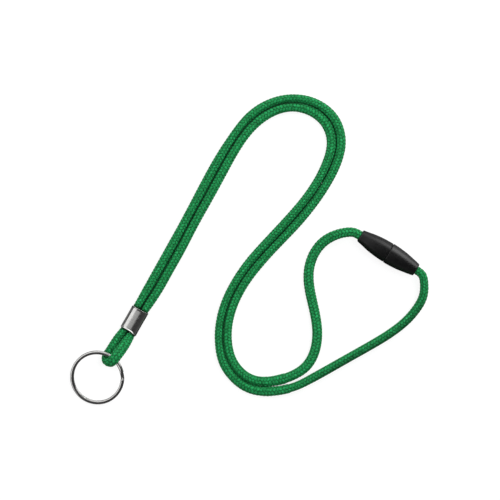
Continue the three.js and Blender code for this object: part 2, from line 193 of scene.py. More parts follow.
STRAND_B = [
    (-56.88, -5.34, 2.80, 4.12, 4.55),
    (-54.91, -1.90, 2.80, 4.12, 4.55),
    (-52.95, 1.55, 2.80, 4.12, 4.55),
    (-50.93, 4.96, 2.77, 4.63, 4.57),
    (-48.79, 8.30, 2.57, 5.01, 4.45),
    (-46.62, 11.62, 2.29, 5.07, 4.39),
    (-44.51, 14.98, 2.13, 5.10, 4.37),
    (-42.52, 18.41, 2.12, 5.13, 4.35),
    (-40.60, 21.87, 2.11, 5.15, 4.32),
    (-38.68, 25.34, 2.11, 5.18, 4.32),
    (-36.74, 28.80, 2.11, 5.20, 4.32),
    (-34.80, 32.26, 2.11, 5.22, 4.32),
    (-32.91, 35.74, 2.11, 5.24, 4.32),
    (-31.07, 39.26, 2.11, 5.25, 4.32),
    (-29.25, 42.78, 2.11, 5.25, 4.32),
    (-27.41, 46.29, 2.11, 5.25, 4.32),
    (-25.54, 49.79, 2.11, 5.25, 4.32),
    (-23.64, 53.27, 2.11, 5.24, 4.32),
    (-21.73, 56.74, 2.11, 5.24, 4.32),
    (-19.80, 60.21, 2.11, 5.24, 4.32),
    (-17.87, 63.67, 2.11, 5.24, 4.32),
    (-15.95, 67.14, 2.11, 5.24, 4.32),
    (-14.05, 70.62, 2.11, 5.24, 4.32),
    (-12.16, 74.11, 2.11, 5.24, 4.32),
    (-10.30, 77.61, 2.11, 5.24, 4.32),
    (-8.42, 81.10, 2.11, 5.24, 4.32),
    (-6.48, 84.56, 2.11, 5.25, 4.32),
    (-4.45, 87.96, 2.11, 5.26, 4.32),
    (-2.27, 91.27, 2.11, 5.27, 4.32),
    (0.09, 94.46, 2.11, 5.29, 4.32),
    (2.66, 97.48, 2.11, 5.30, 4.32),
    (5.47, 100.27, 2.11, 5.32, 4.32),
    (8.53, 102.79, 2.11, 5.34, 4.32),
    (11.83, 104.98, 2.11, 5.37, 4.32),
    (15.37, 106.77, 2.11, 5.41, 4.32),
    (19.12, 108.04, 2.11, 5.46, 4.32),
    (23.02, 108.69, 2.11, 5.50, 4.32),
    (26.98, 108.61, 2.11, 5.54, 4.32),
    (30.85, 107.80, 2.11, 5.56, 4.32),
    (34.52, 106.32, 2.11, 5.56, 4.32),
    (37.87, 104.22, 2.11, 5.57, 4.32),
    (40.72, 101.48, 2.11, 5.55, 4.32),
    (42.87, 98.17, 2.11, 5.51, 4.32),
    (44.20, 94.44, 2.11, 5.44, 4.32),
    (44.69, 90.52, 2.11, 5.35, 4.32),
    (44.34, 86.57, 2.11, 5.25, 4.32),
    (43.36, 82.73, 2.12, 5.14, 4.33),
    (41.98, 79.02, 2.17, 5.03, 4.43),
    (40.35, 75.41, 2.22, 4.91, 4.54),
    (38.50, 71.90, 2.28, 4.79, 4.65),
    (36.47, 68.50, 2.33, 4.67, 4.77),
    (34.29, 65.19, 2.39, 4.57, 4.88),
    (31.97, 61.97, 2.41, 4.49, 4.92),
    (29.55, 58.83, 2.41, 4.45, 4.92),
    (27.03, 55.77, 2.41, 4.44, 4.92),
    (24.43, 52.77, 2.41, 4.47, 4.92),
    (21.78, 49.82, 2.41, 4.51, 4.92),
    (19.08, 46.92, 2.39, 4.56, 4.89),
    (16.36, 44.03, 2.38, 4.59, 4.85),
    (13.63, 41.16, 2.38, 4.59, 4.85),
    (10.91, 38.28, 2.39, 4.57, 4.88),
    (8.21, 35.37, 2.41, 4.51, 4.92),
    (5.57, 32.41, 2.41, 4.43, 4.92),
    (2.99, 29.40, 2.41, 4.35, 4.92),
    (0.53, 26.30, 2.41, 4.29, 4.92),
    (-1.80, 23.09, 2.41, 4.27, 4.92),
    (-3.99, 19.79, 2.41, 4.27, 4.92),
    (-6.01, 16.39, 2.41, 4.27, 4.92),
    (-7.86, 12.89, 2.41, 4.27, 4.92),
    (-9.48, 9.29, 2.41, 4.27, 4.92),
    (-10.88, 5.59, 2.41, 4.27, 4.92),
    (-12.01, 1.81, 2.41, 4.27, 4.92),
    (-12.83, -2.05, 2.41, 4.27, 4.92),
    (-13.35, -5.95, 2.41, 4.27, 4.92),
    (-13.53, -9.89, 2.41, 4.27, 4.92),
    (-13.31, -13.84, 2.41, 4.30, 4.92),
    (-12.69, -17.74, 2.41, 4.36, 4.92),
    (-11.60, -21.54, 2.41, 4.45, 4.92),
    (-10.03, -25.17, 2.38, 4.58, 4.86),
    (-7.94, -28.54, 2.29, 4.76, 4.68),
    (-5.37, -31.55, 2.19, 4.97, 4.48),
    (-2.36, -34.12, 2.11, 5.17, 4.32),
    (1.05, -36.13, 2.11, 5.32, 4.32),
    (4.77, -37.51, 2.11, 5.36, 4.32),
    (8.66, -38.28, 2.11, 5.17, 4.32),
    (12.62, -38.44, 2.26, 4.82, 4.62),
    (16.58, -38.18, 2.38, 4.58, 4.86),
    (20.48, -37.49, 2.41, 4.52, 4.92),
    (24.29, -36.40, 2.41, 4.52, 4.92),
    (27.97, -34.93, 2.41, 4.52, 4.92),
    (31.50, -33.13, 2.41, 4.52, 4.92),
    (34.98, -31.23, 2.41, 4.52, 4.92),
    (38.45, -29.31, 2.41, 4.52, 4.92),
    (41.92, -27.38, 2.41, 4.52, 4.92),
    (45.37, -25.44, 2.41, 4.52, 4.92),
    (48.83, -23.49, 2.41, 4.52, 4.92),
    (52.27, -21.53, 2.41, 4.52, 4.92),
    (55.72, -19.57, 2.41, 4.52, 4.92),
    (59.16, -17.61, 2.41, 4.52, 4.92),
    (62.61, -15.64, 2.41, 4.52, 4.92),
    (66.05, -13.67, 2.41, 4.52, 4.92),
    (69.47, -11.67, 2.41, 4.52, 4.92),
    (72.84, -9.58, 2.41, 4.52, 4.92),
    (76.13, -7.37, 2.41, 4.52, 4.92),
    (79.31, -5.00, 2.41, 4.52, 4.92),
    (82.33, -2.43, 2.41, 4.52, 4.92),
    (85.14, 0.37, 2.41, 4.52, 4.92),
    (87.68, 3.41, 2.53, 4.52, 4.92),
    (89.90, 6.69, 2.96, 4.52, 4.92),
    (91.59, 10.27, 3.60, 4.52, 4.92),
    (92.30, 14.16, 4.30, 4.52, 4.92),
    (92.18, 18.12, 4.94, 4.52, 4.92),
    (91.12, 21.91, 5.38, 4.52, 4.92),
    (88.11, 24.38, 5.50, 4.52, 4.92),
    (84.78, 26.45, 5.50, 4.52, 4.92),
    (84.22, 26.80, 5.50, 4.52, 4.92),
]

CRIMP_CENTRE = np.array([-57.10, -1.55])
CRIMP_DIR = np.array([0.497, 0.868]) / math.hypot(0.497, 0.868)
CRIMP_LENGTH = 12.9
CRIMP_WIDTH = 9.3
CRIMP_HEIGHT = 5.6
CRIMP_WALL = 0.5
CRIMP_SEAM = 0.5

RING_CENTRE_XY = np.array([-76.26, -31.12])
RING_OD = 28.0
RING_WIRE_W = 1.8
RING_WIRE_H = 1.05
RING_COIL_GAP = 0.1
RING_CONTACT_DEG = 56.6
RING_END_DEG = -5
RING_STEP_DEG = 18
RING_LIFT = 5.75

CONN_CENTRE = np.array([73.88, 33.17, 5.5])
CONN_DIR = np.array([0.8513, -0.5247, 0.0]) / math.hypot(0.8513, 0.5247)

UP = np.array([0.0, 0.0, 1.0])


def unit(v):
    v = np.asarray(v, float)
    return v / np.linalg.norm(v, axis=-1, keepdims=True)


def smooth(x):
    x = np.clip(x, 0, 1)
    return x * x * (3 - 2 * x)


def spline(t, y, q):
    """Natural cubic spline through (t, y), at q."""
    n = len(t)
    h = np.diff(t)
    a = np.zeros((n, n))
    b = np.zeros((n, y.shape[1]))
    a[0, 0] = a[-1, -1] = 1
    for i in range(1, n - 1):
        a[i, i - 1] = h[i - 1]
        a[i, i] = 2 * (h[i - 1] + h[i])
        a[i, i + 1] = h[i]
        b[i] = 6 * ((y[i + 1] - y[i]) / h[i] - (y[i] - y[i - 1]) / h[i - 1])
    m = np.linalg.solve(a, b)
    k = np.clip(np.searchsorted(t, q) - 1, 0, n - 2)
    u = (q - t[k])[:, None]
    v = (t[k + 1] - q)[:, None]
    hk = h[k][:, None]
    return (
        m[k] * v**3 / (6 * hk) + m[k + 1] * u**3 / (6 * hk)
        + (y[k] / hk - m[k] * hk / 6) * v + (y[k + 1] / hk - m[k + 1] * hk / 6) * u
    )


def resample(table, step):
    """The table's columns, evenly spaced along its centreline; the second result is the distance along it."""
    y = np.array(table, float)
    t = np.r_[0, np.cumsum(np.linalg.norm(np.diff(y[:, :3], axis=0), axis=1))]
    fine = spline(t, y, np.linspace(0, t[-1], int(t[-1] / 0.05)))
    s = np.r_[0, np.cumsum(np.linalg.norm(np.diff(fine[:, :3], axis=0), axis=1))]
    n = int(round(s[-1] / step))
    at = np.linspace(0, s[-1], n + 1)
    return np.stack([np.interp(at, s, fine[:, k]) for k in range(fine.shape[1])], 1), at


# ------------------------------------------------------------------ mesh helpers
def make_mesh(name, verts, faces, attributes=None, smooth_faces=True):
    """verts in mm, faces as an (n, 4) array or a list."""
    mesh = bpy.data.meshes.new(name)
    mesh.from_pydata((np.asarray(verts) * MM).tolist(), [], faces if isinstance(faces, list) else faces.tolist())
    mesh.update()
    if smooth_faces:
        mesh.polygons.foreach_set("use_smooth", [True] * len(mesh.polygons))
    for key, values in (attributes or {}).items():
        layer = mesh.attributes.new(key, "FLOAT", "POINT")
        layer.data.foreach_set("value", np.asarray(values, np.float32))
    obj = bpy.data.objects.new(name, mesh)
    scene.collection.objects.link(obj)
    return obj


def grid_faces(rows, cols, closed_rows=False, closed_cols=True):
    """Quads of a rows x cols vertex grid."""
    i = np.arange(rows if closed_rows else rows - 1)
    j = np.arange(cols if closed_cols else cols - 1)
    ii, jj = np.meshgrid(i, j, indexing="ij")
    i2, j2 = (ii + 1) % rows, (jj + 1) % cols
    return np.stack([ii * cols + jj, ii * cols + j2, i2 * cols + j2, i2 * cols + jj], -1).reshape(-1, 4)


# ------------------------------------------------------------------ braid
# A sixteen-carrier braid shows eight ribs round the cord.  Each rib is a stack of
# slanted stitches, leaning the other way from its neighbours and half a stitch
# out of step with them, so that their tips interlock.
RIBS = 8
PITCH = 1.71
RELIEF = 0.34
LEAN = 0.70             # stitch slant, in pitches per rib
_jitter = rng.random((RIBS, 613, 3))


def braid(theta, s, rib_width):
    """Height of the braid from 0 in a gap to 1 on a stitch's crest, a number per stitch, and the filament coordinate."""
    u = theta * RIBS / (2 * math.pi)
    rib = np.floor(u).astype(int)
    x = (u - rib - 0.5) * rib_width
    best = np.zeros_like(s)
    tone = np.zeros_like(s)
    thread = np.zeros_like(s)
    norm = np.hypot(rib_width, LEAN * PITCH)
    cx, cy = rib_width / norm, LEAN * PITCH / norm
    long_half = 0.5 * norm * 1.02
    half = 0.5 * PITCH * cx * 1.20
    for k in (-1, 0, 1):
        r = (rib + k) % RIBS
        lean = np.where(r % 2 == 0, 1.0, -1.0)
        xk = x - k * rib_width
        off = np.where(r % 2 == 0, 0.0, 0.5 * PITCH)
        n = np.round((s - lean * LEAN * PITCH * xk / rib_width - off) / PITCH)
        j = _jitter[r, n.astype(int) % 613]
        dy = s - (n * PITCH + off) - (j[..., 2] - 0.5) * 0.16
        p = xk * cx + lean * dy * cy
        q = -lean * xk * cy + dy * cx
        body = 1 - np.abs(p / long_half) ** 2.3 - np.abs(q / half) ** 2.1
        h = np.sqrt(np.clip(body, 0, 1)) * (0.90 + 0.10 * j[..., 0])
        take = h > best
        best = np.where(take, h, best)
        tone = np.where(take, j[..., 1], tone)
        thread = np.where(take, q, thread)
    return best, tone, thread


def painted_contact_shade(verts, rows, others, apart=None, reach=(0.75, 0.75)):
    """Painted shade: 1 on open surface, falling to 0 where a neighbouring cord presses against this one, the shade in
    the groove between them.
    """
    t = unit(np.gradient(others[:, :3], axis=0))
    out = np.ones(verts.shape[:2])
    for i in range(len(rows)):
        gap = np.linalg.norm(others[:, :3] - rows[i, :3], axis=1)
        if apart is not None:
            gap = gap + 99.0 * (np.abs(np.arange(len(others)) - i) < apart)
        j = int(np.argmin(gap))
        if gap[j] > 9:
            continue
        d = verts[i] - others[j, :3]
        d = d - np.outer(d @ t[j], t[j])
        width = reach[0] if i < len(rows) / 2 else reach[1]
        out[i] = smooth((np.linalg.norm(d, axis=1) - 2.45) / width)
    return out


def rim(x):
    """Where the sleeve's lower rim is, along the sleeve, at x to the right of its middle (mm)."""
    f = x / (CRIMP_WIDTH / 2)
    return -CRIMP_LENGTH / 2 + 0.50 - 0.15 * smooth((-f - 0.5) / 0.45) - 0.85 * smooth((f - 0.2) / 0.75)


def mouth_shade(verts):
    """Painted shade: 1 in the open, falling to 0 where the cord comes out of the sleeve."""
    d = verts[..., :2] - CRIMP_CENTRE
    along = d @ CRIMP_DIR
    x = d @ np.array([CRIMP_DIR[1], -CRIMP_DIR[0]])
    above = along - (CRIMP_LENGTH / 2 + 0.1)
    under = rim(x) - 0.1 - along
    away = (np.abs(x) - 6) * 2
    return smooth(np.maximum(np.maximum(above, under), away) / 1.6)


def cord_mesh(name, rows, at, width_axis, around=64, twist=0.0, phase=0.0, beside=None, apart=None, reach=(1.25, 1.25), contact_shade_floor=((0, 60, 110, 180, 230, 290, 330), (0.15, 0.15, 0.22, 0.26, 0.30, 0.32, 0.46)), painted_side_shade=0.0):
    """A braided tube. rows: x, y, z, width, height at each distance along it; width_axis: the section's width direction there."""
    p = rows[:, :3]
    t = unit(np.gradient(p, axis=0))
    w = width_axis - t * np.sum(width_axis * t, axis=1, keepdims=True)
    w = unit(w)
    n = np.cross(t, w)
    a = np.arange(around) * 2 * math.pi / around
    ca, sa = np.cos(a)[None, :, None], np.sin(a)[None, :, None]
    half_w = (rows[:, 3] / 2)[:, None, None]
    half_h = (rows[:, 4] / 2)[:, None, None]
    base = half_w * ca * w[:, None, :] + half_h * sa * n[:, None, :]
    normal = unit(half_h * ca * w[:, None, :] + half_w * sa * n[:, None, :])
    drift = phase + twist * at + 0.16 * np.sin(at / 23.0 + phase * 3) + 0.07 * np.sin(at / 9.1)
    theta = (a[None, :] + drift[:, None]) % (2 * math.pi)
    s = np.repeat(at[:, None], around, axis=1)
    rib_width = math.pi * 4.45 / RIBS
    relief, tone, thread = braid(theta, s, rib_width)
    # a slow unevenness, as in any soft braid
    lumps = 0.045 * np.sin(s / 6.3 + 2 * np.cos(a)[None, :]) * np.sin(s / 17.0 + phase)
    verts = p[:, None, :] + base + normal * (-RELIEF * (1 - relief) + lumps)[..., None]
    m = len(rows)
    # painted shade: the cord's colour is darkened where it touches the other strand or its other leg
    strength = np.interp(at, *contact_shade_floor)[:, None]
    painted_shade = strength + (1 - strength) * painted_contact_shade(verts, rows, rows if beside is None else beside, apart, reach)
    # painted shade where the cord goes into the sleeve's mouths
    painted_shade = painted_shade * (0.15 + 0.85 * mouth_shade(verts))
    if painted_side_shade:
        # painted shade: the single stretch is darker down its lower side, away from the light
        gap = np.array([np.linalg.norm(beside[:, :2] - q, axis=1).min() for q in p[:, :2]])
        alone = at[max(i for i in range(m) if gap[i] < 5.4 and at[i] < at[-1] - 90)]
        across = np.sum((verts - p[:, None, :]) * np.cross(t, UP)[:, None, :], axis=2)
        rightward = smooth((t[:, :1] - 0.25) / 0.45)
        painted_shade = painted_shade * (1 - painted_side_shade * rightward * smooth((across + 1.3) / 2.6) * smooth((s - alone) / 30))
    faces = grid_faces(m, around).tolist()
    ends = [p[0], p[-1]]
    allv = np.vstack([verts.reshape(-1, 3), ends])
    c0, c1 = m * around, m * around + 1
    for j in range(around):
        faces.append([c0, (j + 1) % around, j])
        faces.append([c1, (m - 1) * around + j, (m - 1) * around + (j + 1) % around])
    extra = np.zeros(2)
    return make_mesh(name, allv, faces, {
        "relief": np.r_[relief.ravel(), extra],
        "tone": np.r_[tone.ravel(), extra],
        "thread": np.r_[thread.ravel(), extra],
        "painted_shade": np.r_[painted_shade.ravel(), extra + 1],
    })


def level_side(rows):
    t = unit(np.gradient(rows[:, :3], axis=0))
    return unit(np.cross(UP, t))


ra, sa_ = resample(STRAND_A, 0.3)
rb, sb_ = resample(STRAND_B, 0.3)


def touch(rows, others):
    """Where the two strands lie side by side, each is as wide as the space between them, so that they touch."""
    gap = np.array([np.linalg.norm(others[:, :2] - q, axis=1).min() for q in rows[:, :2]])
    need = np.where(gap < 5.6, gap + 0.26, 0.0)
    k = np.ones(9) / 9
    need = np.convolve(np.pad(need, 4, mode="edge"), k, "valid")
    out = rows.copy()
    out[:, 3] = np.maximum(rows[:, 3], np.minimum(need, rows[:, 3] + 0.45))
    return out


def settle(rows, at, others):
    """Fuller where the strand runs alone, and laid a little over in the bottom bend."""
    gap = np.array([np.linalg.norm(others[:, :2] - q, axis=1).min() for q in rows[:, :2]])
    out = rows.copy()
    alone = smooth((gap - 5.4) / 1.4)[:, None] * smooth((at - 60) / 30)[:, None] * smooth((at[-1] - 14 - at) / 10)[:, None]
    out[:, 3:5] += 0.22 * alone
    for x, y, size, dx, dy in ((15.4, -35.9, 13.0, 0.02, 0.38), (-9.8, -23.0, 7.0, -0.22, -0.18)):
        pull = np.exp(-((rows[:, 0] - x) ** 2 + (rows[:, 1] - y) ** 2) / size ** 2)
        out[:, 0] += dx * pull
        out[:, 1] += dy * pull
    return out


ra, rb = touch(ra, rb), touch(rb, ra)
ra, rb = settle(ra, sa_, rb), settle(rb, sb_, ra)
strand_a = cord_mesh("braided_strand_a", ra, sa_, level_side(ra), phase=0.3, twist=0.004, beside=rb)
strand_b = cord_mesh("braided_strand_b", rb, sb_, level_side(rb), phase=1.1, twist=-0.003, beside=ra, painted_side_shade=0.38)

# the cord's bight through the split ring
contact_a = math.radians(RING_CONTACT_DEG)
outward = np.array([math.cos(contact_a), math.sin(contact_a), 0.0])
wire_dir = np.array([math.sin(contact_a), -math.cos(contact_a), 0.0])
RING_MID_R = (RING_OD - RING_WIRE_W) / 2
contact = np.r_[RING_CENTRE_XY, RING_LIFT] + outward * RING_MID_R
crimp_side = np.array([-CRIMP_DIR[1], CRIMP_DIR[0], 0.0])
crimp_along = np.r_[CRIMP_DIR, 0.0]


def loop_rows():
    side = 2.0
    radius = 3.45

    def mouth(sgn, back, off=2.06):
        q = np.r_[CRIMP_CENTRE, CRIMP_HEIGHT / 2] - crimp_along * (CRIMP_LENGTH / 2 - back)
        return q + crimp_side * sgn * off

    def turn(deg, r=radius, sd=side):
        c, s = math.cos(math.radians(deg)), math.sin(math.radians(deg))
        return contact + wire_dir * sd * s + UP * r * s - outward * r * c

    def leg(a, b, t, bow, z):
        q = a + (b - a) * t + crimp_side * bow
        q[2] = z
        return q

    left0, right0 = mouth(1, 0.0), mouth(-1, 0.0)
    under, over = turn(-90), turn(90)
    pts = [
        (mouth(1, 3.0, 2.06), 4.12, 4.55), (mouth(1, 1.4, 2.06), 4.12, 4.55), (left0, 4.35, 4.6),
        (leg(left0, under, 0.12, -0.02, 2.76), 4.7, 4.7),
        (leg(left0, under, 0.32, 0.10, 2.50), 5.1, 4.6),
        (leg(left0, under, 0.52, 0.12, 2.34), 5.2, 4.5),
        (leg(left0, under, 0.72, 0.06, 2.26), 5.2, 4.4),
        (leg(left0, under, 0.90, 0.0, 2.22), 5.15, 4.3),
        (turn(-90) - outward * 0.35 + UP * (2.26 - under[2]), 5.1, 4.2),
        (turn(-66) - UP * 0.05, 5.0, 4.0), (turn(-42), 4.95, 3.85), (turn(-16), 4.95, 3.8), (turn(10), 5.05, 3.8), (turn(36), 5.25, 3.9), (turn(62), 5.5, 4.1),
        (over - outward * 0.6, 5.65, 4.25),
        (leg(right0, over, 0.88, -0.20, 9.15), 5.7, 4.3),
        (leg(right0, over, 0.70, -0.35, 8.05), 5.7, 4.35),
        (leg(right0, over, 0.52, -0.42, 6.55), 5.6, 4.4),
        (leg(right0, over, 0.34, -0.36, 4.95), 5.4, 4.5),
        (leg(right0, over, 0.15, -0.16, 3.40), 4.9, 4.6),
        (right0, 4.35, 4.6), (mouth(-1, 1.4, 2.06), 4.12, 4.55), (mouth(-1, 3.0, 2.06), 4.12, 4.55),
    ]
    return [(*q, w, h) for q, w, h in pts]


rl, sl_ = resample(loop_rows(), 0.22)
_t = unit(np.gradient(rl[:, :3], axis=0))
# the section's width follows the wire in the turn, and is level along the legs
_frac = sl_ / sl_[-1]
_turn = smooth((_frac - 0.30) / 0.12) * (1 - smooth((_frac - 0.60) / 0.12))
_level = unit(np.cross(UP, _t) + 1e-9)
_sign = np.where(_level @ wire_dir < 0, -1.0, 1.0)[:, None]
_axis = _level * _sign * (1 - _turn[:, None]) + wire_dir * _turn[:, None]
bight = cord_mesh("braided_bight", rl, sl_, unit(_axis), around=72, phase=0.9, twist=0.006, apart=75, reach=(1.9, 0.7), contact_shade_floor=((0, 1), (0.22, 0.22)))


# ------------------------------------------------------------------ materials
def material(name):
    m = bpy.data.materials.new(name)
    m.use_nodes = True
    m.node_tree.nodes.clear()
    return m, m.node_tree.nodes, m.node_tree.links


def node(nodes, kind, **values):
    n = nodes.new(kind)
    for k, v in values.items():
        setattr(n, k, v)
    return n


def principled(nodes, links):
    out = nodes.new("ShaderNodeOutputMaterial")
    b = nodes.new("ShaderNodeBsdfPrincipled")
    links.new(b.outputs[0], out.inputs[0])
    return b


def ramp(nodes, stops, mode="LINEAR"):
    r = nodes.new("ShaderNodeValToRGB")
    r.color_ramp.interpolation = mode
    while len(r.color_ramp.elements) < len(stops):
        r.color_ramp.elements.new(0.5)
    for e, (pos, col) in zip(r.color_ramp.elements, stops):
        e.position = pos
        e.color = (*col, 1) if len(col) == 3 else col
    return r


def braid_material():
    m, N, L = material("braided_polyester")
    b = principled(N, L)
    b.inputs["Roughness"].default_value = 0.55
    b.inputs["Specular IOR Level"].default_value = 0.16
    b.inputs["Sheen Weight"].default_value = 0.05
    b.inputs["Sheen Roughness"].default_value = 0.45
    b.inputs["Sheen Tint"].default_value = (0.55, 1.0, 0.72, 1)
    relief = node(N, "ShaderNodeAttribute", attribute_name="relief")
    tone = node(N, "ShaderNodeAttribute", attribute_name="tone")
    thread = node(N, "ShaderNodeAttribute", attribute_name="thread")
    coord = node(N, "ShaderNodeTexCoord")
    # painted shade: the base colour is darkest down in the gaps between stitches and lightest on their crests
    base = ramp(N, [(0.0, (0.0020, 0.060, 0.015)), (0.40, (0.0050, 0.130, 0.034)), (0.75, (0.0085, 0.208, 0.055)), (1.0, (0.0140, 0.280, 0.078))])
    L.new(relief.outputs["Fac"], base.inputs[0])
    # each stitch a little lighter or darker
    vary = node(N, "ShaderNodeMapRange")
    vary.inputs["To Min"].default_value = 0.87
    vary.inputs["To Max"].default_value = 1.14
    L.new(tone.outputs["Fac"], vary.inputs["Value"])
    mul = node(N, "ShaderNodeMix", data_type="RGBA", blend_type="MULTIPLY")
    mul.inputs[0].default_value = 1.0
    L.new(base.outputs[0], mul.inputs[6])
    comb = node(N, "ShaderNodeCombineColor")
    for k in range(3):
        L.new(vary.outputs[0], comb.inputs[k])
    L.new(comb.outputs[0], mul.inputs[7])
    # soft mottling from handling and dye
    noise = node(N, "ShaderNodeTexNoise")
    noise.inputs["Scale"].default_value = 900
    noise.inputs["Detail"].default_value = 4
    L.new(coord.outputs["Object"], noise.inputs["Vector"])
    spots = ramp(N, [(0.30, (0.88, 0.90, 0.86)), (0.70, (1.09, 1.07, 1.12))])
    L.new(noise.outputs["Fac"], spots.inputs[0])
    # painted glints and random tone: flecks finer than a stitch, lighter and darker, for bundles of filament that
    # catch the light
    flecks = node(N, "ShaderNodeTexNoise")
    flecks.inputs["Scale"].default_value = 1500
    flecks.inputs["Detail"].default_value = 2
    L.new(coord.outputs["Object"], flecks.inputs["Vector"])
    fleck_glint_tone = ramp(N, [(0.34, (0.62, 0.66, 0.62)), (0.50, (1.0, 1.0, 1.0)), (0.66, (1.45, 1.34, 1.50))])
    L.new(flecks.outputs["Fac"], fleck_glint_tone.inputs[0])
    fleck_mul = node(N, "ShaderNodeMix", data_type="RGBA", blend_type="MULTIPLY")
    fleck_mul.inputs[0].default_value = 1.0
    L.new(spots.outputs[0], fleck_mul.inputs[6])
    L.new(fleck_glint_tone.outputs[0], fleck_mul.inputs[7])
    mul2 = node(N, "ShaderNodeMix", data_type="RGBA", blend_type="MULTIPLY")
    mul2.inputs[0].default_value = 1.0
    L.new(mul.outputs[2], mul2.inputs[6])
    L.new(fleck_mul.outputs[2], mul2.inputs[7])
    # painted shade where the two strands press together, where the cord goes into the sleeve, and down the single
    # stretch's lower side
    painted_shade = node(N, "ShaderNodeAttribute", attribute_name="painted_shade")
    painted_shade_rgb = node(N, "ShaderNodeCombineColor")
    for k in range(3):
        L.new(painted_shade.outputs["Fac"], painted_shade_rgb.inputs[k])
    mul3 = node(N, "ShaderNodeMix", data_type="RGBA", blend_type="MULTIPLY")
    mul3.inputs[0].default_value = 1.0
    L.new(mul2.outputs[2], mul3.inputs[6])
    L.new(painted_shade_rgb.outputs[0], mul3.inputs[7])
    L.new(mul3.outputs[2], b.inputs["Base Color"])
    # filaments run along each stitch
    scale = node(N, "ShaderNodeMath", operation="MULTIPLY")
    scale.inputs[1].default_value = 2 * math.pi / 0.17
    L.new(thread.outputs["Fac"], scale.inputs[0])
    wob = node(N, "ShaderNodeTexNoise")
    wob.inputs["Scale"].default_value = 1600
    wob.inputs["Detail"].default_value = 3
    L.new(coord.outputs["Object"], wob.inputs["Vector"])
    wobm = node(N, "ShaderNodeMath", operation="MULTIPLY_ADD")
    wobm.inputs[1].default_value = 5.0
    L.new(wob.outputs["Fac"], wobm.inputs[0])
    L.new(scale.outputs[0], wobm.inputs[2])
    sine = node(N, "ShaderNodeMath", operation="SINE")
    L.new(wobm.outputs[0], sine.inputs[0])
    addn = node(N, "ShaderNodeMath", operation="ADD")
    L.new(sine.outputs[0], addn.inputs[0])
    L.new(noise.outputs["Fac"], addn.inputs[1])
    bump = node(N, "ShaderNodeBump")
    bump.inputs["Strength"].default_value = 0.45
    bump.inputs["Distance"].default_value = 0.00005
    L.new(addn.outputs[0], bump.inputs["Height"])
    L.new(bump.outputs[0], b.inputs["Normal"])
    return m


def fused_material():
    m, N, L = material("fused_polyester")
    b = principled(N, L)
    b.inputs["Roughness"].default_value = 0.32
    coord = node(N, "ShaderNodeTexCoord")
    noise = node(N, "ShaderNodeTexNoise")
    noise.inputs["Scale"].default_value = 700
    noise.inputs["Detail"].default_value = 5
    L.new(coord.outputs["Object"], noise.inputs["Vector"])
    base = ramp(N, [(0.25, (0.002, 0.022, 0.009)), (0.55, (0.006, 0.085, 0.030)), (0.85, (0.016, 0.15, 0.05))])
    L.new(noise.outputs["Fac"], base.inputs[0])
    L.new(base.outputs[0], b.inputs["Base Color"])
    bump = node(N, "ShaderNodeBump")
    bump.inputs["Strength"].default_value = 0.6
    bump.inputs["Distance"].default_value = 0.0002
    L.new(noise.outputs["Fac"], bump.inputs["Height"])
    L.new(bump.outputs[0], b.inputs["Normal"])
    return m


def nickel_material(name, colour, rough_lo, rough_hi, stretch, scratch):
    """Bright nickel plate with fine polishing lines along `stretch` and faint handling marks."""
    m, N, L = material(name)
    b = principled(N, L)
    b.inputs["Metallic"].default_value = 1.0
    coord = node(N, "ShaderNodeTexCoord")
    mapping = node(N, "ShaderNodeMapping")
    mapping.inputs["Rotation"].default_value = (0, 0, stretch)
    L.new(coord.outputs["Object"], mapping.inputs["Vector"])
    mapping2 = node(N, "ShaderNodeMapping")
    mapping2.inputs["Scale"].default_value = (60, 2600, 2600)
    L.new(mapping.outputs[0], mapping2.inputs["Vector"])
    lines = node(N, "ShaderNodeTexNoise")
    lines.inputs["Scale"].default_value = 1.0
    lines.inputs["Detail"].default_value = 4
    L.new(mapping2.outputs[0], lines.inputs["Vector"])
    spots = node(N, "ShaderNodeTexNoise")
    spots.inputs["Scale"].default_value = 420
    spots.inputs["Detail"].default_value = 6
    spots.inputs["Roughness"].default_value = 0.65
    L.new(coord.outputs["Object"], spots.inputs["Vector"])
    col = ramp(N, [(0.30, tuple(c * 0.86 for c in colour)), (0.62, colour)])
    L.new(spots.outputs["Fac"], col.inputs[0])
    L.new(col.outputs[0], b.inputs["Base Color"])
    rough = node(N, "ShaderNodeMapRange")
    rough.inputs["From Min"].default_value = 0.3
    rough.inputs["From Max"].default_value = 0.75
    rough.inputs["To Min"].default_value = rough_lo
    rough.inputs["To Max"].default_value = rough_hi
    L.new(spots.outputs["Fac"], rough.inputs["Value"])
    L.new(rough.outputs[0], b.inputs["Roughness"])
    bump = node(N, "ShaderNodeBump")
    bump.inputs["Strength"].default_value = scratch
    bump.inputs["Distance"].default_value = 0.00002
    L.new(lines.outputs["Fac"], bump.inputs["Height"])
    L.new(bump.outputs[0], b.inputs["Normal"])
    return m


